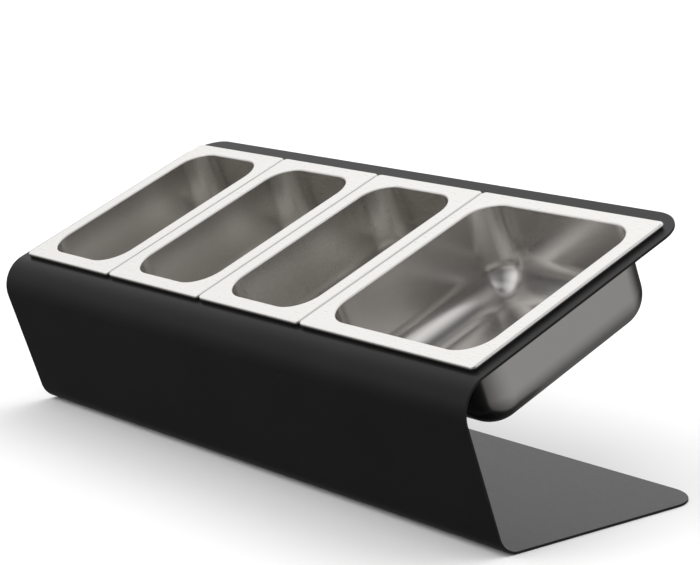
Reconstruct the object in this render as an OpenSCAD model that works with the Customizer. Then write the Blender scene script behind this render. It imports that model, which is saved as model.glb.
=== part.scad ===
// Serving stand folded from one sheet, with four drop-in food pans.
// The sheet makes a sloping deck, a front panel that leans back towards its
// foot, and a base plate. The pans hang through cut-outs in the deck by their
// rims. Three pans are one-ninth size and the one on the right is one-sixth.
// X runs along the width, Y to the back and Z up. The origin is under the
// middle of the whole object, on the surface that it stands on.

/* [Stand] */
// Thickness of the sheet
sheet_t = 1.7; // [1:0.1:3]
// Slope of the deck, in degrees above level
deck_tilt = 22.55; // [16:0.05:30]
// Lean of the front panel, in degrees back from upright towards its foot
panel_lean = 20; // [8:0.5:26]
// Height of the front panel along its slope, between the two bend lines
panel_len = 111.4; // [104:0.1:150]
// Depth of the base plate from the foot's bend line to the back edge
base_len = 178.6; // [140:0.1:230]
// Outer radius of the bend between deck and front panel
top_bend_r = 22.5; // [10:0.5:30]
// Outer radius of the bend between front panel and base plate
foot_bend_r = 18; // [8:0.5:30]
// Radius of the four free corners of the sheet
corner_r = 26; // [6:0.5:40]
// Deck left beside the outermost rims, left and right
side_margin = 8.1; // [5:0.1:20]
// Deck left behind the rims
back_margin = 14.5; // [6:0.1:30]
// Deck in front of the rims, measured to the top bend line
front_margin = 22.4; // [16:0.1:40]

/* [Pans] */
// Length of every rim, from front to back
rim_len = 176; // [170:0.5:180]
// Width of a one-ninth rim
ninth_w = 108; // [104:0.5:110]
// Width of the one-sixth rim
sixth_w = 163; // [158:0.5:166]
// Gap between neighbouring rims
rim_gap = 0.5; // [0.4:0.1:2]
// Depth of a pan from the top of its rim to its underside
pan_depth = 62.5; // [60:0.5:90]
// Thickness of the pan metal
pan_t = 1; // [0.6:0.1:1.2]
// Width of the flat rim beside the hollow, left and right
rim_side = 12; // [10:0.1:16]
// Width of the flat rim before and behind the hollow
rim_end = 11.4; // [10:0.1:16]
// Height of the rim's turned-down edge
rim_drop = 3.65; // [2.4:0.05:5]
// How far that edge leans in under the rim at its foot
rim_tuck = 1; // [0:0.1:1.2]
// Radius of the rim's corners in plan
rim_corner_r = 4; // [3:0.5:8]
// Outer radius of the rim's turned edge
edge_r = 1.6; // [1.2:0.1:2]
// Outer radius of the rounded edge of the mouth
mouth_r = 1.2; // [1.1:0.1:2]
// Radius of the hollow's corners in plan, inside
hollow_corner_r = 21.5; // [15:0.5:26]
// Radius between walls and floor, inside
floor_r = 22.8; // [16:0.2:30]

/* [Fits] */
// Gap between a pan's wall and its cut-out, all round
cutout_gap = 1; // [0.5:0.1:2]
// Height at which the rims rest above the deck
seat_gap = 0.05; // [0.05:0.05:0.2]

/* [Hidden] */
$fn = 96;

// Row of rims
pitch = ninth_w + rim_gap;
row_w = 3 * pitch + sixth_w;
stand_w = row_w + 2 * side_margin;
deck_len = front_margin + rim_len + back_margin;

// Directions in the side profile: up the deck, and down the front panel
deck_dir = [cos(deck_tilt), sin(deck_tilt)];
panel_dir = [sin(panel_lean), -cos(panel_lean)];
// Angles inside the two bends, and the lengths that each bend takes up
top_angle = 90 + deck_tilt - panel_lean;
foot_angle = 90 + panel_lean;
top_tan = top_bend_r / tan(top_angle / 2);
foot_tan = foot_bend_r / tan(foot_angle / 2);

// Bend lines, first with the foot's at y = 0
apex_rise = panel_len * cos(panel_lean);
apex_back = -panel_len * sin(panel_lean);
top_mid = (deck_dir + panel_dir) / norm(deck_dir + panel_dir);
top_centre_y = apex_back + top_mid[0] * top_bend_r / sin(top_angle / 2);
front_y = top_centre_y - top_bend_r;
// Then moved so that the whole stand is centred on the origin
foot_y = -(front_y + base_len) / 2;
foot = [foot_y, 0];
apex = [foot_y + apex_back, apex_rise];

// Heights in the rim plane's own frame, whose z = 0 is the top of the rims
rim_h = rim_drop + seat_gap;
rim_origin = apex + front_margin * deck_dir + rim_h * [-sin(deck_tilt), cos(deck_tilt)];

// Puts children drawn in the rim plane's frame, x across, y up the slope and
// z off the deck, in their place on the stand.
module on_rim_plane(x = 0)
    translate([-row_w / 2, rim_origin[0], rim_origin[1]])
        rotate([deck_tilt, 0, 0])
            translate([x, 0, 0]) children();

// Rectangle with round corners, from p to q
module round_rect(p, q, r) {
    translate([p[0] + r, p[1]]) square([q[0] - p[0] - 2 * r, q[1] - p[1]]);
    translate([p[0], p[1] + r]) square([q[0] - p[0], q[1] - p[1] - 2 * r]);
    for (x = [p[0] + r, q[0] - r], y = [p[1] + r, q[1] - r])
        translate([x, y]) circle(r);
}

// What is cut away to round a corner that lies at the origin, with the plate
// on its -x and -y sides. The arc is 0.02 mm further out than a true fillet,
// so that it crosses the two sides instead of only touching them.
module corner_waste(r)
    translate([0.02, 0.02])
        polygon(concat([[-r, 2], [2, 2], [2, -r]], bend_arc([-r, -r], r, 0, 90, 24)));

// Points along a bend about c, from angle a to angle b
function bend_arc(c, r, a, b, n = 32) =
    [for (i = [0:n]) c + r * [cos(a + (b - a) * i / n), sin(a + (b - a) * i / n)]];

// Side profile of the sheet: its outer face from the deck's back edge round
// both bends to the base plate's back edge, then its inner face back again.
module side_profile() {
    deck_side = 90 + deck_tilt;
    panel_side = 180 + panel_lean;
    top_c = apex + top_mid * top_bend_r / sin(top_angle / 2);
    foot_c = foot + [foot_tan, foot_bend_r];
    deck_end = apex + deck_len * deck_dir;
    base_end = foot + [base_len, 0];
    polygon(concat(
        [deck_end],
        bend_arc(top_c, top_bend_r, deck_side, panel_side),
        bend_arc(foot_c, foot_bend_r, panel_side, 270),
        [base_end, base_end + [0, sheet_t]],
        bend_arc(foot_c, foot_bend_r - sheet_t, 270, panel_side),
        bend_arc(top_c, top_bend_r - sheet_t, panel_side, deck_side),
        [deck_end + sheet_t * [sin(deck_tilt), -cos(deck_tilt)]]
    ));
}

// Outline of the cut-out that a pan of rim width w drops through
module cutout(w) {
    grow = pan_t + cutout_gap;
    round_rect([rim_side - grow, rim_end - grow],
               [w - rim_side + grow, rim_len - rim_end + grow],
               hollow_corner_r + grow);
}

module stand() color("#2c2c2e")
    difference() {
        translate([-stand_w / 2, 0, 0])
            rotate([90, 0, 90]) linear_extrude(stand_w) side_profile();
        // free corners of the deck and of the base plate
        for (side = [0, 1]) mirror([side, 0, 0]) {
            on_rim_plane() translate([row_w + side_margin, rim_len + back_margin, -rim_h - 2 * sheet_t])
                linear_extrude(3 * sheet_t) corner_waste(corner_r);
            translate([stand_w / 2, foot_y + base_len, -1])
                linear_extrude(sheet_t + 2) corner_waste(corner_r);
        }
        // cut-outs
        on_rim_plane() translate([0, 0, -rim_h - 3 * sheet_t]) linear_extrude(6 * sheet_t) {
            for (i = [0:2]) translate([i * pitch, 0]) cutout(ninth_w);
            translate([3 * pitch, 0]) cutout(sixth_w);
        }
    }

// Sweeps children, a section in x (outwards) and y (up), round a rectangle
// from p to q with corner radius r; x = 0 of the section lies on the outline
module sweep_round(p, q, r) {
    translate([p[0], q[1] - r, 0]) rotate([90, 0, 0]) mirror([1, 0, 0])
        linear_extrude(q[1] - p[1] - 2 * r) children();
    translate([q[0], q[1] - r, 0]) rotate([90, 0, 0])
        linear_extrude(q[1] - p[1] - 2 * r) children();
    translate([p[0] + r, p[1], 0]) rotate([90, 0, -90]) mirror([0, 0, 1])
        linear_extrude(q[0] - p[0] - 2 * r) children();
    translate([q[0] - r, q[1], 0]) rotate([90, 0, 90]) mirror([0, 0, 1])
        linear_extrude(q[0] - p[0] - 2 * r) children();
    for (c = [[q[0] - r, q[1] - r, 0], [p[0] + r, q[1] - r, 90],
              [p[0] + r, p[1] + r, 180], [q[0] - r, p[1] + r, 270]])
        translate([c[0], c[1], 0]) rotate(c[2])
            rotate_extrude(angle = 90) translate([r, 0]) children();
}

// Quarter of a turned edge of outer radius r: its centre is r below the top,
// and it bends down towards +x, to end at x = 0
module turned_edge(r)
    translate([-r, -r]) intersection() {
        difference() {
            circle(r);
            circle(r - pan_t);
        }
        square(r + 1);
    }

// Body of a pan below its mouth, as a solid: upright walls with round corners
// that grow into a floor with wide round edges
module pan_block(w, inset, wall_r, bottom_r, top, bottom)
    hull() {
        for (x = [rim_side - inset, w - rim_side + inset], y = [rim_end - inset, rim_len - rim_end + inset]) {
            sx = x < w / 2 ? 1 : -1;
            sy = y < rim_len / 2 ? 1 : -1;
            translate([x + sx * wall_r, y + sy * wall_r, top - 0.4])
                cylinder(r = wall_r, h = 0.4, $fn = 32);
            translate([x + sx * bottom_r, y + sy * bottom_r, bottom + bottom_r])
                sphere(bottom_r, $fn = 32);
            translate([x + sx * bottom_r, y + sy * bottom_r, bottom])
                cylinder(r = 1, h = 1, $fn = 8);
        }
    }

// One pan, in the rim plane's frame with its rim's front left corner at the origin
module pan(w) color("#c8c6c1") {
    // flat of the rim, round the mouth
    translate([0, 0, -pan_t]) linear_extrude(pan_t) difference() {
        round_rect([edge_r, edge_r], [w - edge_r, rim_len - edge_r], rim_corner_r - edge_r);
        round_rect([rim_side - mouth_r, rim_end - mouth_r],
                   [w - rim_side + mouth_r, rim_len - rim_end + mouth_r], hollow_corner_r + mouth_r);
    }
    // turned-down edge of the rim
    sweep_round([0, 0], [w, rim_len], rim_corner_r) {
        turned_edge(edge_r);
        polygon([[0, -edge_r], [-pan_t, -edge_r], [-pan_t - rim_tuck, -rim_drop], [-rim_tuck, -rim_drop]]);
    }
    // rounded edge of the mouth
    sweep_round([rim_side, rim_end], [w - rim_side, rim_len - rim_end], hollow_corner_r)
        mirror([1, 0]) turned_edge(mouth_r);
    // walls and floor
    difference() {
        pan_block(w, pan_t, hollow_corner_r + pan_t, floor_r + pan_t, -mouth_r, -pan_depth);
        translate([0, 0, 1])
            pan_block(w, 0, hollow_corner_r, floor_r, -mouth_r, pan_t - pan_depth - 1);
        translate([0, 0, -mouth_r - 3]) linear_extrude(5)
            round_rect([rim_side, rim_end], [w - rim_side, rim_len - rim_end], hollow_corner_r);
    }
}

module ninth_pan_left() on_rim_plane(0) pan(ninth_w);
module ninth_pan_middle() on_rim_plane(pitch) pan(ninth_w);
module ninth_pan_right() on_rim_plane(2 * pitch) pan(ninth_w);
module sixth_pan() on_rim_plane(3 * pitch) pan(sixth_w);

stand();
ninth_pan_left();
ninth_pan_middle();
ninth_pan_right();
sixth_pan();
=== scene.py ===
import math

import bpy
from mathutils import Matrix, Vector, geometry


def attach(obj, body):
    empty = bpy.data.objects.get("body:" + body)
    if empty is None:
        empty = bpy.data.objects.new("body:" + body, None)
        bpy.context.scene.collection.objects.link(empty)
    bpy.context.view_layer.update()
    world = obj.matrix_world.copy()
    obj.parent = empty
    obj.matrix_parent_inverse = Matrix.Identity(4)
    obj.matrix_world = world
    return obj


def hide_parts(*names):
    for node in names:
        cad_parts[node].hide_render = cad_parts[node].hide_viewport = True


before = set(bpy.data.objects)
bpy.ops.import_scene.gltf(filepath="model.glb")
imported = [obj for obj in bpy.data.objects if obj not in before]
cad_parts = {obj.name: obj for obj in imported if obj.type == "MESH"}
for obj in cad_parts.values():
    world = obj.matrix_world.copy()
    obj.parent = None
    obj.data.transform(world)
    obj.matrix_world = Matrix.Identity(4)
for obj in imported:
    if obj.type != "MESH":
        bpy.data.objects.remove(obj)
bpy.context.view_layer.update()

# A stand folded from one black sheet, with four steel food pans hanging in it.
# Sizes are in millimetres as the CAD has them, and become metres in to_m().

SHEET_T = 1.7
TILT = math.radians(22.55)
LEAN = math.radians(20.0)
PANEL_LEN = 111.4
BASE_LEN = 178.6
TOP_R = 22.5
FOOT_R = 18.0
CORNER_R = 26.0
SIDE_MARGIN = 8.1
BACK_MARGIN = 14.5
FRONT_MARGIN = 22.4
RIM_LEN = 176.0
NINTH_W = 108.0
SIXTH_W = 163.0
RIM_GAP = 0.5
PAN_DEPTH = 62.5
PAN_T = 1.0
RIM_SIDE = 12.0
RIM_END = 11.4
RIM_DROP = 3.65
RIM_TUCK = 1.0
RIM_CORNER_R = 4.0
EDGE_R = 1.6
MOUTH_R = 1.2
HOLLOW_R = 21.5
FLOOR_R = 22.8
CUTOUT_GAP = 1.0
SEAT_GAP = 0.05

PITCH = NINTH_W + RIM_GAP
ROW_W = 3 * PITCH + SIXTH_W
STAND_W = ROW_W + 2 * SIDE_MARGIN
DECK_LEN = FRONT_MARGIN + RIM_LEN + BACK_MARGIN
RIM_H = RIM_DROP + SEAT_GAP

# ---------------------------------------------------------------- placing

DECK_DIR = Vector((math.cos(TILT), math.sin(TILT)))
PANEL_DIR = Vector((math.sin(LEAN), -math.cos(LEAN)))
TOP_ANGLE = math.pi / 2 + TILT - LEAN
FOOT_ANGLE = math.pi / 2 + LEAN
TOP_TAN = TOP_R / math.tan(TOP_ANGLE / 2)
FOOT_TAN = FOOT_R / math.tan(FOOT_ANGLE / 2)
TOP_MID = (DECK_DIR + PANEL_DIR).normalized()
FRONT_Y = -PANEL_LEN * math.sin(LEAN) + TOP_MID.x * TOP_R / math.sin(TOP_ANGLE / 2) - TOP_R
FOOT = Vector((-(FRONT_Y + BASE_LEN) / 2, 0.0))
APEX = FOOT + Vector((-PANEL_LEN * math.sin(LEAN), PANEL_LEN * math.cos(LEAN)))
DECK_UP = Vector((-math.sin(TILT), math.cos(TILT)))
RIM_ORIGIN = APEX + FRONT_MARGIN * DECK_DIR + RIM_H * DECK_UP


def to_m(x, yz):
    return Vector((x, yz[0], yz[1])) * 0.001


def rim_point(u, v, h):
    """A point of the rim plane's own frame: u across, v up the slope, h off it."""
    return to_m(-ROW_W / 2 + u, RIM_ORIGIN + v * DECK_DIR + h * DECK_UP)


def rim_dir(u, v, h):
    d = v * DECK_DIR + h * DECK_UP
    return Vector((u, d.x, d.y))


# ---------------------------------------------------------------- mesh helper


class Surface:
    """Vertices with their own exact normals, and faces with a material number."""

    def __init__(self):
        self.co, self.no, self.faces, self.mats = [], [], [], []

    def vert(self, co, no):
        self.co.append(tuple(co))
        self.no.append(tuple(Vector(no).normalized()))
        return len(self.co) - 1

    def face(self, ids, mat=0):
        out = []
        for i in ids:
            if not out or out[-1] != i:
                out.append(i)
        if out and out[0] == out[-1]:
            out.pop()
        if len(set(out)) >= 3:
            self.faces.append(out)
            self.mats.append(mat)

    def bridge(self, a, b, mat=0, closed=True):
        n = len(a)
        for i in range(n if closed else n - 1):
            j = (i + 1) % n
            self.face([a[i], a[j], b[j], b[i]], mat)

    def build(self, name, materials):
        # every face looks the way its normals do
        for k, ids in enumerate(self.faces):
            n, m = Vector((0, 0, 0)), Vector((0, 0, 0))
            for i, j in zip(ids, ids[1:] + ids[:1]):
                n += Vector(self.co[i]).cross(Vector(self.co[j]))
                m += Vector(self.no[i])
            if n.dot(m) < 0:
                self.faces[k] = ids[::-1]
        me = bpy.data.meshes.new(name)
        me.from_pydata(self.co, [], self.faces)
        me.polygons.foreach_set("material_index", self.mats)
        me.polygons.foreach_set("use_smooth", [True] * len(me.polygons))
        for m in materials:
            me.materials.append(m)
        me.validate()
        me.normals_split_custom_set_from_vertices(self.no)
        me.update()
        ob = bpy.data.objects.new(name, me)
        bpy.context.scene.collection.objects.link(ob)
        return ob


# ---------------------------------------------------------------- pans

CORNER_SEGS = 28
SIDE_SEGS = 6


def loop(x0, y0, x1, y1, r):
    """A round rectangle's points, anticlockwise: (point, outward direction, corner or None)."""
    out = []
    centres = [(x1 - r, y0 + r, -90), (x1 - r, y1 - r, 0), (x0 + r, y1 - r, 90), (x0 + r, y0 + r, 180)]
    for k, (cx, cy, a0) in enumerate(centres):
        for i in range(CORNER_SEGS + 1):
            a = math.radians(a0 + 90 * i / CORNER_SEGS)
            d = (math.cos(a), math.sin(a))
            out.append(((cx + r * d[0], cy + r * d[1]), d, k))
        nx, ny, na = centres[(k + 1) % 4]
        a = math.radians(a0 + 90)
        d = (math.cos(a), math.sin(a))
        p, q = (cx + r * d[0], cy + r * d[1]), (nx + r * d[0], ny + r * d[1])
        for i in range(1, SIDE_SEGS):
            t = i / SIDE_SEGS
            out.append(((p[0] + (q[0] - p[0]) * t, p[1] + (q[1] - p[1]) * t), d, None))
    return out


def ring(s, rect, r, h, out_part, up_part, flare=0.0):
    """Adds one loop of a pan. Its normals lean by out_part outwards and up_part upwards; flare tips them on the corners."""
    x0, y0, x1, y1 = rect
    ids, done = [], {}
    for p, d, k in loop(x0, y0, x1, y1, max(r, 0.0)):
        if r < 1e-6 and k is not None and k in done:
            ids.append(done[k])
            continue
        tip = flare * (1 - abs(d[0]) - abs(d[1])) if k is not None else 0.0
        n = rim_dir(d[0] * out_part, d[1] * out_part, up_part - out_part * tip)
        i = s.vert(rim_point(s.u0 + p[0], p[1], h), n)
        if k is not None:
            done[k] = i
        ids.append(i)
    return ids


def inset(w, side, end):
    return (side, end, w - side, RIM_LEN - end)


def smooth01(t):
    return t * t * (3 - 2 * t)


LEG = math.hypot(RIM_TUCK, RIM_DROP - EDGE_R)
LEG_OUT, LEG_UP = (RIM_DROP - EDGE_R) / LEG, -RIM_TUCK / LEG


def pan_skin(s, w, off, mat_rim, mat_wall, inside):
    """One face of the pan metal, from the rim's lower edge over the flange and down to the floor.
    off is 0 for the upper face and PAN_T for the lower face."""
    sg = 1.0 if inside else -1.0
    rings, mats = [], []
    roll = EDGE_R - off

    def add(rect, r, h, o, u, mat, flare=0.0):
        rings.append(ring(s, rect, r, h, o * sg, u * sg, flare))
        mats.append(mat)

    # turned-down edge of the rim, from its foot up and round to the top; the leg and the lower half of the roll take
    # material 1, a darker copy of the rim steel that is painted shade under the rim
    for i in range(6):
        t = i / 6 * (1 - PAN_T / 2 / (RIM_DROP - EDGE_R)) + PAN_T / 2 / (RIM_DROP - EDGE_R)
        d = off + RIM_TUCK * (1 - t)
        add(inset(w, d, d), RIM_CORNER_R - d, -RIM_DROP + (RIM_DROP - EDGE_R) * t, LEG_OUT, LEG_UP, 1)
    for i in range(11):
        a = math.radians(90 * i / 10)
        d = EDGE_R - roll * math.cos(a)
        add(inset(w, d, d), RIM_CORNER_R - d, -EDGE_R + roll * math.sin(a), math.cos(a), math.sin(a), 1 if i < 6 else mat_rim)
    # flat of the rim, then the mouth's edge
    roll = MOUTH_R - off
    for i in range(9):
        a = math.radians(90 - 90 * i / 8)
        d = MOUTH_R - roll * math.cos(a)
        add(inset(w, RIM_SIDE - d, RIM_END - d), HOLLOW_R + d, -MOUTH_R + roll * math.sin(a), -math.cos(a), math.sin(a), mat_rim)
    # wall
    top, bottom = -MOUTH_R, -PAN_DEPTH + PAN_T + FLOOR_R
    rows = 12
    for i in range(1, rows + 1):
        t = i / rows
        h = top + (bottom - top) * t
        r = HOLLOW_R + off + (FLOOR_R - HOLLOW_R) * smooth01(t)
        slope = (FLOOR_R - HOLLOW_R) * 6 * t * (1 - t) / (bottom - top)
        add(inset(w, RIM_SIDE - off, RIM_END - off), r, h, -1, 0, mat_wall, slope)
    # round edge between wall and floor
    big = FLOOR_R + off
    steps = 24
    for i in range(1, steps + 1):
        a = math.radians(90 * i / steps)
        d = big * (1 - math.cos(a))
        r = big * math.cos(a) if i < steps else 0.0
        add(inset(w, RIM_SIDE - off + d, RIM_END - off + d), r, bottom - big * math.sin(a), -math.cos(a), math.sin(a), mat_wall)
    for a, b, m in zip(rings, rings[1:], mats[1:]):
        if inside:
            s.bridge(a, b, m)
        else:
            s.bridge(b, a, m)
    floor = []
    for i in rings[-1]:
        if not floor or floor[-1] != i:
            floor.append(i)
    if floor[0] == floor[-1]:
        floor.pop()
    s.face(floor if inside else floor[::-1], mat_wall)
    return rings[0]


def make_pan(name, u0, w, mats):
    s = Surface()
    s.u0 = u0
    a = pan_skin(s, w, 0.0, 0, 3, True)
    b = pan_skin(s, w, PAN_T, 0, 2, False)
    # round foot of the turned-down edge, also in the painted shade material
    last = a
    for i in range(1, 6):
        k = math.radians(36 * i)
        d = RIM_TUCK * (1 - PAN_T / 2 / (RIM_DROP - EDGE_R)) + PAN_T / 2 * (1 - math.cos(k))
        h = -RIM_DROP + PAN_T / 2 * (1 - math.sin(k))
        now = b if i == 5 else ring(s, inset(w, d, d), RIM_CORNER_R - d, h, math.cos(k), -math.sin(k))
        s.bridge(now, last, 1)
        last = now
    ob = s.build(name, mats)
    # painted highlight: the turned edge's faces that look along x, on the rim's two long sides, get a lighter copy of
    # its steel
    for poly in ob.data.polygons:
        if poly.material_index == 1 and abs(poly.normal.x) > 0.8:
            poly.material_index = 4
    return ob


# ---------------------------------------------------------------- stand

ROUND = 0.3  # rounding of the sheet's edges
ROUND_SEGS = 4
ARC_SEGS = 24


def side_curve():
    """The outer face's line in the side plane: (length along it, point, outward direction)."""
    deck_side, panel_side = math.pi / 2 + TILT, math.pi + LEAN
    top_c = APEX + TOP_MID * TOP_R / math.sin(TOP_ANGLE / 2)
    foot_c = FOOT + Vector((FOOT_TAN, FOOT_R))
    out = []
    s = 0.0
    p = APEX + DECK_LEN * DECK_DIR
    out.append((s, p, DECK_UP))
    for c, r, a0, a1, n in (
        (top_c, TOP_R, deck_side, panel_side, 30),
        (foot_c, FOOT_R, panel_side, 1.5 * math.pi, 26),
    ):
        for i in range(n + 1):
            a = a0 + (a1 - a0) * i / n
            q = c + r * Vector((math.cos(a), math.sin(a)))
            s += (q - p).length if i == 0 else r * (a1 - a0) / n
            p = q
            out.append((s, q, Vector((math.cos(a), math.sin(a)))))
    q = FOOT + Vector((BASE_LEN, 0.0))
    s += (q - p).length
    out.append((s, q, Vector((0.0, -1.0))))
    return out


CURVE = side_curve()
TOTAL = CURVE[-1][0]
BEND_S = [c[0] for c in CURVE[1:-1]]


def on_curve(s):
    """Point, direction along the sheet and outward direction at length s."""
    for (s0, p0, n0), (s1, p1, n1) in zip(CURVE, CURVE[1:]):
        if s <= s1 + 1e-9:
            t = (s - s0) / (s1 - s0)
            n = n0.lerp(n1, t).normalized()
            return p0.lerp(p1, t), n
    return CURVE[-1][1], CURVE[-1][2]


def sheet_vert(sf, s, x, depth, ds, dx, out):
    """A vertex at length s, across x, depth under the outer face. Its normal has the parts ds, dx and out."""
    p, n = on_curve(min(max(s, 0.0), TOTAL))
    along = Vector((n.y, -n.x)) * -1.0  # towards growing s
    q = p - n * depth
    d = along * ds + n * out
    return sf.vert(to_m(x, q), Vector((dx, d.x, d.y)))


def outline_points(s0, s1, half, r, extra):
    """A closed outline in (s, x) with its outward directions; extra are lengths at which the sides get a point."""
    pts = []

    def arc(cs, cx, a0):
        for i in range(ARC_SEGS + 1):
            a = math.radians(a0 + 90 * i / ARC_SEGS)
            d = (math.cos(a), math.sin(a))
            pts.append(((cs + r * d[0], cx + r * d[1]), d))

    mids = [e for e in extra if s0 + r + 0.5 < e < s1 - r - 0.5]
    arc(s1 - r, half - r, 0)
    for e in reversed(mids):
        pts.append(((e, half), (0.0, 1.0)))
    arc(s0 + r, half - r, 90)
    arc(s0 + r, -half + r, 180)
    for e in mids:
        pts.append(((e, -half), (0.0, -1.0)))
    arc(s1 - r, -half + r, 270)
    return pts


def cutout_points(u0, w):
    grow = PAN_T + CUTOUT_GAP
    edge = RIM_LEN + BACK_MARGIN
    s0, s1 = edge - (RIM_LEN - RIM_END + grow), edge - (RIM_END - grow)
    x0, x1 = -ROW_W / 2 + u0 + RIM_SIDE - grow, -ROW_W / 2 + u0 + w - RIM_SIDE + grow
    r = HOLLOW_R + grow
    mid = (x0 + x1) / 2
    # walked the other way round, and its outward direction points into the hole
    pts = outline_points(s0, s1, (x1 - x0) / 2, r, [])
    return [((p[0], p[1] + mid), (-d[0], -d[1])) for p, d in reversed(pts)]


def make_stand(mats):
    sf = Surface()
    loops = [outline_points(0.0, TOTAL, STAND_W / 2, CORNER_R, BEND_S)]
    for i in range(3):
        loops.append(cutout_points(i * PITCH, NINTH_W))
    loops.append(cutout_points(3 * PITCH, SIXTH_W))

    steps = []  # (inset, depth, share outwards along the plane, share off the face)
    for i in range(ROUND_SEGS + 1):
        a = math.radians(90 - 90 * i / ROUND_SEGS)
        steps.append((ROUND * (1 - math.cos(a)), ROUND * (1 - math.sin(a)), math.cos(a), math.sin(a)))
    for i in range(ROUND_SEGS + 1):
        a = math.radians(-90 * i / ROUND_SEGS)
        steps.append((ROUND * (1 - math.cos(a)), SHEET_T - ROUND * (1 + math.sin(a)), math.cos(a), math.sin(a)))

    outer, inner, flat = [], [], []
    for pts in loops:
        prev = None
        for k, (ins, depth, lat, off) in enumerate(steps):
            ids = [
                sheet_vert(sf, p[0] - d[0] * ins, p[1] - d[1] * ins, depth, d[0] * lat, d[1] * lat, off)
                for p, d in pts
            ]
            if prev is not None:
                sf.bridge(prev, ids, 0)
            else:
                outer.append(ids)
                flat.append([(p[0] - d[0] * ins, p[1] - d[1] * ins) for p, d in pts])
            prev = ids
        inner.append(prev)

    # the faces: bends are strips, and the flats between them are filled round the cut-outs
    pts2, ids_out, ids_in, edges = [], [], [], []
    for lo, lin, pl in zip(outer, inner, flat):
        base = len(pts2)
        pts2 += pl
        ids_out += lo
        ids_in += lin
        n = len(pl)
        edges += [(base + i, base + (i + 1) % n) for i in range(n)]
    # lines across the sheet at every bend point
    n0 = len(flat[0])
    for e in BEND_S:
        ends = [i for i in range(n0) if abs(flat[0][i][0] - e) < 1e-6 and abs(abs(flat[0][i][1]) - (STAND_W / 2 - ROUND)) < 0.2]
        if len(ends) == 2:
            edges.append((ends[0], ends[1]))
    vs, es, fs, orig_v, _, _ = geometry.delaunay_2d_cdt([Vector(p) for p in pts2], edges, [], 1, 1e-7)
    where = {}
    for i, o in enumerate(orig_v):
        if o:
            where[i] = o[0]
    holes = flat[1:]

    def inside(poly, p):
        hit = False
        for (ax, ay), (bx, by) in zip(poly, poly[1:] + poly[:1]):
            if (ay > p[1]) != (by > p[1]) and p[0] < (bx - ax) * (p[1] - ay) / (by - ay) + ax:
                hit = not hit
        return hit

    for f in fs:
        if any(i not in where for i in f):
            raise RuntimeError("the sheet's outline crosses itself")
        c = (sum(vs[i][0] for i in f) / len(f), sum(vs[i][1] for i in f) / len(f))
        if any(inside(h, c) for h in holes) or not inside(flat[0], c):
            continue
        a, b, c3 = (vs[i] for i in f[:3])
        turn = (b[0] - a[0]) * (c3[1] - a[1]) - (b[1] - a[1]) * (c3[0] - a[0])
        ids = [where[i] for i in f]
        if turn < 0:
            ids.reverse()
        sf.face([ids_out[i] for i in ids], 0)
        sf.face([ids_in[i] for i in reversed(ids)], 0)
    ob = sf.build("stand_sheet", mats)
    return ob


# ---------------------------------------------------------------- materials


def new_mat(name):
    m = bpy.data.materials.new(name)
    m.use_nodes = True
    nt = m.node_tree
    for n in list(nt.nodes):
        nt.nodes.remove(n)
    out = nt.nodes.new("ShaderNodeOutputMaterial")
    bsdf = nt.nodes.new("ShaderNodeBsdfPrincipled")
    nt.links.new(bsdf.outputs[0], out.inputs[0])
    return m, nt, bsdf


def node(nt, kind, **inputs):
    n = nt.nodes.new(kind)
    for k, v in inputs.items():
        n.inputs[k.replace("_", " ")].default_value = v
    return n


def noise(nt, vec, scale, detail=2.0, rough=0.5):
    n = nt.nodes.new("ShaderNodeTexNoise")
    n.inputs["Scale"].default_value = scale
    n.inputs["Detail"].default_value = detail
    n.inputs["Roughness"].default_value = rough
    nt.links.new(vec, n.inputs["Vector"])
    return n.outputs["Fac"]


def ranged(nt, val, lo, hi, fmin=0.3, fmax=0.7):
    n = nt.nodes.new("ShaderNodeMapRange")
    n.inputs["From Min"].default_value = fmin
    n.inputs["From Max"].default_value = fmax
    n.inputs["To Min"].default_value = lo
    n.inputs["To Max"].default_value = hi
    nt.links.new(val, n.inputs["Value"])
    return n.outputs["Result"]


def stretched(nt, vec, scale):
    n = nt.nodes.new("ShaderNodeMapping")
    n.inputs["Scale"].default_value = scale
    nt.links.new(vec, n.inputs["Vector"])
    return n.outputs["Vector"]


def mixed(nt, fac, a, b):
    n = nt.nodes.new("ShaderNodeMix")
    n.data_type = "RGBA"
    nt.links.new(fac, n.inputs[0])
    n.inputs[6].default_value = (*a, 1)
    n.inputs[7].default_value = (*b, 1)
    return n.outputs[2]


def bump(nt, height, strength, distance, below=None):
    n = nt.nodes.new("ShaderNodeBump")
    n.inputs["Strength"].default_value = strength
    n.inputs["Distance"].default_value = distance
    nt.links.new(height, n.inputs["Height"])
    if below is not None:
        nt.links.new(below, n.inputs["Normal"])
    return n.outputs["Normal"]


def powder_coat():
    m, nt, b = new_mat("black_powder_coat")
    vec = nt.nodes.new("ShaderNodeTexCoord").outputs["Object"]
    cloud = noise(nt, vec, 14.0, 3.0)
    grain = noise(nt, vec, 900.0, 3.0, 0.6)
    peel = noise(nt, vec, 260.0, 2.0)
    nt.links.new(mixed(nt, ranged(nt, cloud, 0, 1), (0.0054, 0.0054, 0.0056), (0.0072, 0.0071, 0.0070)), b.inputs["Base Color"])
    nt.links.new(ranged(nt, grain, 0.29, 0.36), b.inputs["Roughness"])
    b.inputs["Specular IOR Level"].default_value = 0.195
    n1 = bump(nt, peel, 0.12, 0.00012)
    nt.links.new(bump(nt, grain, 0.06, 0.00005, n1), b.inputs["Normal"])
    return m


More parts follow.
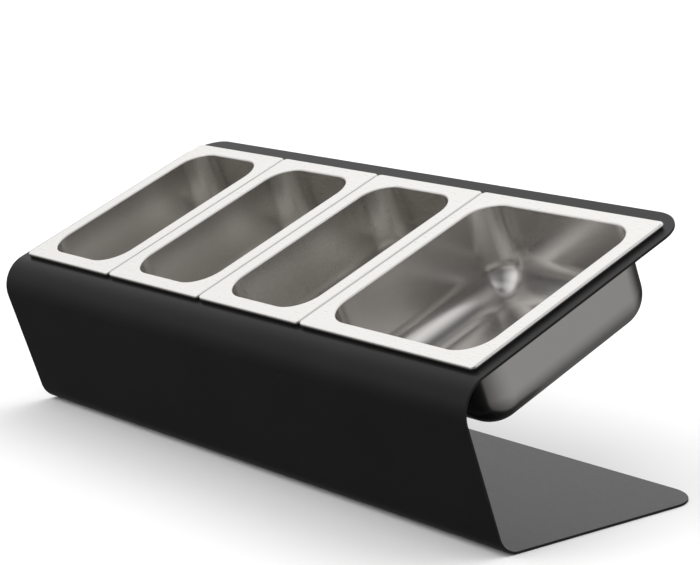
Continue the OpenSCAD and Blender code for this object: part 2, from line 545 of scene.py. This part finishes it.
def steel(name, light, dark, rough, grain_dir, streak, metal=1.0):
    m, nt, b = new_mat(name)
    vec = nt.nodes.new("ShaderNodeTexCoord").outputs["Object"]
    b.inputs["Metallic"].default_value = metal
    brushed = noise(nt, stretched(nt, vec, grain_dir), 1.0, 4.0, 0.65)
    speck = noise(nt, vec, 1400.0, 2.0, 0.6)
    cloud = noise(nt, vec, 22.0, 3.0)
    mix = nt.nodes.new("ShaderNodeMath")
    mix.operation = "MULTIPLY_ADD"
    nt.links.new(brushed, mix.inputs[0])
    mix.inputs[1].default_value = 0.7
    mul = nt.nodes.new("ShaderNodeMath")
    mul.operation = "MULTIPLY"
    nt.links.new(cloud, mul.inputs[0])
    mul.inputs[1].default_value = 0.3
    nt.links.new(mul.outputs[0], mix.inputs[2])
    nt.links.new(mixed(nt, ranged(nt, mix.outputs[0], 0, 1), dark, light), b.inputs["Base Color"])
    nt.links.new(ranged(nt, brushed, rough[0], rough[1]), b.inputs["Roughness"])
    n1 = bump(nt, brushed, streak, 0.00002)
    nt.links.new(bump(nt, speck, 0.04, 0.00002, n1), b.inputs["Normal"])
    return m


COAT = powder_coat()
RIM = steel("brushed_rim", (0.696, 0.687, 0.667), (0.682, 0.673, 0.653), (0.27, 0.295), (90.0, 2600.0, 2600.0), 0.012, 0.45)
# painted shade: the turned-down edge, the lower half of its roll and its round foot are a darker copy of the rim steel,
# standing in for the shade under the rim
HEM_PAINTED_SHADE = steel("hem_steel_painted_shade", (0.51, 0.502, 0.488), (0.47, 0.462, 0.448), (0.30, 0.36), (90.0, 2600.0, 2600.0), 0.05)
# painted highlight: a lighter copy of the hem steel for the turned edge's side faces, brighter than the rim itself
HEM_PAINTED_HIGHLIGHT = steel("hem_steel_side_painted_highlight", (0.74, 0.73, 0.715), (0.70, 0.69, 0.675), (0.30, 0.36), (90.0, 2600.0, 2600.0), 0.05)
SATIN = steel("satin_steel", (0.515, 0.503, 0.488), (0.473, 0.461, 0.446), (0.19, 0.24), (90.0, 1800.0, 1800.0), 0.04)
# painted light: the pans' insides are lighter copies of the outside's satin steel, the wide pan's lightest, standing in
# for light inside the hollows; only their roughness is their own
SATIN_NARROW_PAINTED_LIGHT = steel("satin_steel_narrow_painted_light", (0.63, 0.615, 0.59), (0.58, 0.565, 0.54), (0.26, 0.31), (90.0, 1800.0, 1800.0), 0.03)
SATIN_WIDE_PAINTED_LIGHT = steel("satin_steel_wide_painted_light", (0.655, 0.640, 0.621), (0.606, 0.591, 0.572), (0.19, 0.24), (90.0, 1800.0, 1800.0), 0.04)

# ---------------------------------------------------------------- pieces

stand = make_stand([COAT])
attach(stand, "stand")
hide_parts("stand")

for i, (body, w) in enumerate(
    (("ninth_pan_left", NINTH_W), ("ninth_pan_middle", NINTH_W), ("ninth_pan_right", NINTH_W), ("sixth_pan", SIXTH_W))
):
    pan = make_pan(body + "_shell", i * PITCH, w, [RIM, HEM_PAINTED_SHADE, SATIN, SATIN_NARROW_PAINTED_LIGHT if w == NINTH_W else SATIN_WIDE_PAINTED_LIGHT, HEM_PAINTED_HIGHLIGHT])
    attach(pan, body)
    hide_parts(body)

# ---------------------------------------------------------------- floor, light, camera


def disc(name, radius, z, up=True):
    n = 96
    me = bpy.data.meshes.new(name)
    vs = [(radius * math.cos(2 * math.pi * i / n), radius * math.sin(2 * math.pi * i / n), z) for i in range(n)]
    me.from_pydata(vs, [], [list(range(n)) if up else list(range(n))[::-1]])
    ob = bpy.data.objects.new(name, me)
    bpy.context.scene.collection.objects.link(ob)
    return ob


floor = disc("studio_floor", 9.0, -0.0002)
fm, fnt, fb = new_mat("pale_floor")
fvec = fnt.nodes.new("ShaderNodeTexCoord").outputs["Object"]
fnt.links.new(mixed(fnt, ranged(fnt, noise(fnt, fvec, 3.0, 2.0), 0, 1), (0.80, 0.80, 0.80), (0.82, 0.82, 0.82)), fb.inputs["Base Color"])
fb.inputs["Roughness"].default_value = 0.9
fb.inputs["Specular IOR Level"].default_value = 0.1
floor.data.materials.append(fm)
floor.visible_glossy = False

scene = bpy.context.scene
scene.view_settings.view_transform = "Standard"
scene.view_settings.look = "None"

world = bpy.data.worlds.new("studio")
scene.world = world
world.use_nodes = True
wn = world.node_tree
for n in list(wn.nodes):
    wn.nodes.remove(n)
wout = wn.nodes.new("ShaderNodeOutputWorld")
bg = wn.nodes.new("ShaderNodeBackground")
wn.links.new(bg.outputs[0], wout.inputs[0])
sep = wn.nodes.new("ShaderNodeSeparateXYZ")
wn.links.new(wn.nodes.new("ShaderNodeTexCoord").outputs["Generated"], sep.inputs[0])


def world_math(op, *args):
    n = wn.nodes.new("ShaderNodeMath")
    n.operation = op
    for i, v in enumerate(args):
        if isinstance(v, (int, float)):
            n.inputs[i].default_value = v
        else:
            wn.links.new(v, n.inputs[i])
    return n.outputs[0]


def world_range(socket, lo, hi, to_lo, to_hi):
    n = wn.nodes.new("ShaderNodeMapRange")
    n.inputs["From Min"].default_value = lo
    n.inputs["From Max"].default_value = hi
    n.inputs["To Min"].default_value = to_lo
    n.inputs["To Max"].default_value = to_hi
    wn.links.new(socket, n.inputs["Value"])
    return n.outputs["Result"]


def sky_ramp(heights, values):
    """Brightness by the height of the direction, z from -1 to 1, as a share of the strongest."""
    ramp = wn.nodes.new("ShaderNodeValToRGB")
    wn.links.new(world_range(sep.outputs["Z"], -1, 1, 0, 1), ramp.inputs[0])
    cr = ramp.color_ramp
    cr.interpolation = "LINEAR"
    cr.elements[0].position, cr.elements[1].position = 0.0, 1.0
    for z in heights[1:-1]:
        cr.elements.new((z + 1) / 2)
    for e, v in zip(sorted(cr.elements, key=lambda e: e.position), values):
        e.color = (v / SKY_MAX, v / SKY_MAX, v / SKY_MAX, 1)
    return ramp.outputs["Color"]


# the soft studio room: eight broad panels round the object, blended into each
# other, each with its own brightness by height, from straight down to straight up
SKY_MAX = 2.0
SKY_Z = (-1, -0.45, -0.12, 0.03, 0.2, 0.42, 0.62, 0.71, 0.8, 0.87, 0.93, 0.975, 1)
SKY_PANELS = (
    (0, (0.08, 0.42, 0.50, 0.27, 0.23, 0.31, 0.61, 0.95, 0.87, 0.75, 0.43, 0.16, 0.20)),
    (45, (0.08, 0.48, 0.54, 0.23, 0.89, 1.11, 1.20, 1.25, 1.11, 0.87, 0.52, 0.18, 0.20)),
    (90, (0.08, 0.18, 0.00, 0.15, 1.07, 1.26, 1.27, 1.24, 1.15, 0.85, 0.38, 0.12, 0.20)),
    (135, (0.08, 0.12, 0.04, 0.15, 1.15, 1.25, 1.12, 1.10, 1.15, 0.90, 0.52, 0.33, 0.20)),
    (180, (0.08, 0.09, 0.10, 0.00, 0.05, 0.66, 0.92, 1.05, 1.13, 1.04, 0.89, 0.59, 0.20)),
    (-135, (0.08, 0.10, 0.31, 0.46, 0.81, 0.68, 0.73, 1.01, 1.12, 1.07, 0.90, 0.52, 0.20)),
    (-90, (0.08, 0.25, 0.51, 0.82, 1.18, 1.22, 1.04, 1.03, 1.03, 0.91, 0.71, 0.38, 0.20)),
    (-45, (0.08, 0.25, 0.37, 0.09, 0.16, 0.26, 0.13, 0.30, 0.46, 0.49, 0.16, 0.12, 0.20)),
)
around = world_math("ARCTAN2", sep.outputs["Y"], sep.outputs["X"])
sky = None
for angle, values in SKY_PANELS:
    turn = world_math("WRAP", world_math("SUBTRACT", around, math.radians(angle)), math.pi, -math.pi)
    share = world_range(world_math("ABSOLUTE", turn), 0.0, math.radians(45), 1.0, 0.0)
    part = world_math("MULTIPLY", sky_ramp(SKY_Z, values), share)
    sky = part if sky is None else world_math("ADD", sky, part)
wn.links.new(world_math("MULTIPLY", sky, SKY_MAX), bg.inputs["Strength"])
bg.inputs["Color"].default_value = (1, 1, 1, 1)


def sun(name, toward, angle, strength):
    d = bpy.data.lights.new(name, "SUN")
    d.energy = strength
    d.angle = math.radians(angle)
    ob = bpy.data.objects.new(name, d)
    ob.rotation_mode = "QUATERNION"
    ob.rotation_quaternion = Vector(toward).to_track_quat("Z", "Y")
    ob.location = Vector(toward).normalized() * 2
    ob.visible_glossy = False
    scene.collection.objects.link(ob)
    return ob


sun("back_fill", (0.0, 0.7, 1.0), 70.0, 1.12)
sun("front_fill", (0.0, -0.7, 1.0), 70.0, 1.24)
sun("right_fill", (0.7, 0.0, 1.0), 70.0, 0.11)
sun("low_front_fill", (-0.3, -1.8, 1.0), 70.0, 0.53)

# a pale surround that only the camera sees, so that every view has a plain background
dome_me = bpy.data.meshes.new("surround")
rows, cols, rad = 16, 48, 8.9
dv = [
    (
        rad * math.cos(math.radians(90 * j / rows)) * math.cos(2 * math.pi * i / cols),
        rad * math.cos(math.radians(90 * j / rows)) * math.sin(2 * math.pi * i / cols),
        rad * math.sin(math.radians(90 * j / rows)) - 0.1,
    )
    for j in range(rows)
    for i in range(cols)
]
df = [
    [j * cols + i, (j + 1) * cols + i, (j + 1) * cols + (i + 1) % cols, j * cols + (i + 1) % cols]
    for j in range(rows - 1)
    for i in range(cols)
]
dv.append((0, 0, rad - 0.1))
df += [[(rows - 1) * cols + i, len(dv) - 1, (rows - 1) * cols + (i + 1) % cols] for i in range(cols)]
dome_me.from_pydata(dv, [], df)
dome = bpy.data.objects.new("surround", dome_me)
scene.collection.objects.link(dome)
dm = bpy.data.materials.new("surround")
dm.use_nodes = True
dnt = dm.node_tree
for n in list(dnt.nodes):
    dnt.nodes.remove(n)
do = dnt.nodes.new("ShaderNodeOutputMaterial")
de = dnt.nodes.new("ShaderNodeEmission")
de.inputs["Color"].default_value = (1, 1, 1, 1)
de.inputs["Strength"].default_value = 1.0
dnt.links.new(de.outputs[0], do.inputs[0])
dome_me.materials.append(dm)
dome.visible_diffuse = False
dome.visible_glossy = False
dome.visible_transmission = False
dome.visible_volume_scatter = False
dome.visible_shadow = False

cam_data = bpy.data.cameras.new("camera")
cam_data.lens = 110.81
cam_data.sensor_width = 36.0
cam_data.clip_start = 0.01
cam_data.clip_end = 100.0
cam = bpy.data.objects.new("camera", cam_data)
scene.collection.objects.link(cam)
az, el, roll = math.radians(50.26), math.radians(11.31), math.radians(-0.37)
fwd = Vector((-math.sin(az) * math.cos(el), math.cos(az) * math.cos(el), -math.sin(el)))
right = Vector((math.cos(az), math.sin(az), 0.0))
up = right.cross(fwd)
r2 = right * math.cos(roll) + up * math.sin(roll)
u2 = -right * math.sin(roll) + up * math.cos(roll)
cam.matrix_world = Matrix.Translation((1.12878, -0.91874, 0.40935)) @ Matrix((r2, u2, -fwd)).transposed().to_4x4()
scene.camera = cam
